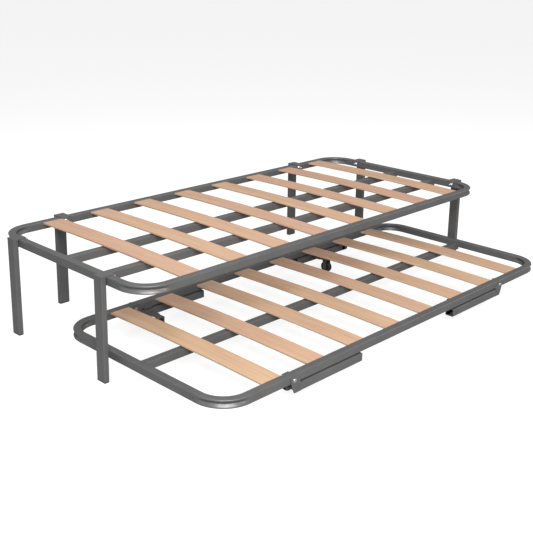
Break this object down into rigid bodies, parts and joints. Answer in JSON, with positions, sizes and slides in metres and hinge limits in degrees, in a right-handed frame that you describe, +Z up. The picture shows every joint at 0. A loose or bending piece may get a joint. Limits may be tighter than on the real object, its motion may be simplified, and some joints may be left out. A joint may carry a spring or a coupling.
{
  "type": "trundle bed",
  "caption": "Slatted steel bed on clamped-on legs with a lower slatted trundle bed on wheels that rolls out from under it and has folding legs along its rails.",
  "frame": {"origin": "centre of the whole bounding box in X and Y, on the floor", "axes": "+X along the length of the beds, +Z up, -Y the side the trundle is pulled out of"},
  "size_m": [2.045, 1.2854, 0.3835],
  "materials": {
    "steel_paint": "satin",
    "steel_paint_trundle": "satin",
    "slat_wood": "satin",
    "zinc": "satin",
    "black_plastic": "matte",
    "wheel_plastic": "matte"
  },
  "bodies": {
    "upper_bed": {"upper_frame": "steel_paint", "upper_bar_1": "steel_paint", "upper_bar_2": "steel_paint", "upper_slat_1": "slat_wood", "upper_slat_2": "slat_wood", "upper_slat_3": "slat_wood", "upper_slat_4": "slat_wood", "upper_slat_5": "slat_wood", "upper_slat_6": "slat_wood", "upper_slat_7": "slat_wood", "upper_slat_8": "slat_wood", "leg_left_near": "steel_paint", "foot_left_near": "black_plastic", "clamp_left_near": "steel_paint", "clamp_bolt_left_near": "zinc", "leg_left_far": "steel_paint", "foot_left_far": "black_plastic", "clamp_left_far": "steel_paint", "clamp_bolt_left_far": "zinc", "leg_far_left": "steel_paint", "foot_far_left": "black_plastic", "clamp_far_left": "steel_paint", "clamp_bolt_far_left": "zinc", "leg_far_right": "steel_paint", "foot_far_right": "black_plastic", "clamp_far_right": "steel_paint", "clamp_bolt_far_right": "zinc", "leg_right_far": "steel_paint", "foot_right_far": "black_plastic", "clamp_right_far": "steel_paint", "clamp_bolt_right_far": "zinc", "leg_right_near": "steel_paint", "foot_right_near": "black_plastic", "clamp_right_near": "steel_paint", "clamp_bolt_right_near": "zinc"},
    "trundle": {"trundle_frame": "steel_paint_trundle", "trundle_slat_1": "slat_wood", "trundle_slat_2": "slat_wood", "trundle_slat_3": "slat_wood", "trundle_slat_4": "slat_wood", "trundle_slat_5": "slat_wood", "trundle_slat_6": "slat_wood", "trundle_slat_7": "slat_wood", "trundle_slat_8": "slat_wood", "pivot_bolt_near_left": "zinc", "pivot_bolt_near_right": "zinc", "pivot_bolt_far_left": "zinc", "pivot_bolt_far_right": "zinc", "wheel_bracket_near_left": "steel_paint_trundle", "wheel_bracket_near_right": "steel_paint_trundle", "wheel_bracket_far_left": "steel_paint_trundle", "wheel_bracket_far_right": "steel_paint_trundle"},
    "fold_near_left": {"folding_leg_near_left": "steel_paint_trundle"},
    "fold_near_right": {"folding_leg_near_right": "steel_paint_trundle"},
    "fold_far_left": {"folding_leg_far_left": "steel_paint_trundle"},
    "fold_far_right": {"folding_leg_far_right": "steel_paint_trundle"},
    "roller_near_left": {"wheel_near_left": "wheel_plastic"},
    "roller_near_right": {"wheel_near_right": "wheel_plastic"},
    "roller_far_left": {"wheel_far_left": "wheel_plastic"},
    "roller_far_right": {"wheel_far_right": "wheel_plastic"}
  },
  "joints": [
    {"name": "trundle_pull", "type": "slide", "parent": "upper_bed", "child": "trundle", "axis": [0, -1, 0], "range_m": [-0.374, 0.54]},
    {"name": "leg_fold_near_left", "type": "hinge", "parent": "trundle", "child": "fold_near_left", "pos_m": [-0.665, -0.6213, 0.087], "axis": [0, 1, 0], "range_deg": [0, 90]},
    {"name": "leg_fold_near_right", "type": "hinge", "parent": "trundle", "child": "fold_near_right", "pos_m": [0.612, -0.6213, 0.087], "axis": [0, -1, 0], "range_deg": [0, 90]},
    {"name": "leg_fold_far_left", "type": "hinge", "parent": "trundle", "child": "fold_far_left", "pos_m": [-0.665, 0.2137, 0.087], "axis": [0, 1, 0], "range_deg": [0, 90]},
    {"name": "leg_fold_far_right", "type": "hinge", "parent": "trundle", "child": "fold_far_right", "pos_m": [0.612, 0.2137, 0.087], "axis": [0, -1, 0], "range_deg": [0, 90]},
    {"name": "wheel_spin_near_left", "type": "hinge", "parent": "trundle", "child": "roller_near_left", "pos_m": [-0.605, -0.5503, 0.025], "axis": [1, 0, 0], "continuous": true},
    {"name": "wheel_spin_near_right", "type": "hinge", "parent": "trundle", "child": "roller_near_right", "pos_m": [0.38, -0.5503, 0.025], "axis": [1, 0, 0], "continuous": true},
    {"name": "wheel_spin_far_left", "type": "hinge", "parent": "trundle", "child": "roller_far_left", "pos_m": [-0.605, 0.1252, 0.025], "axis": [1, 0, 0], "continuous": true},
    {"name": "wheel_spin_far_right", "type": "hinge", "parent": "trundle", "child": "roller_far_right", "pos_m": [0.38, 0.1252, 0.025], "axis": [1, 0, 0], "continuous": true}
  ]
}
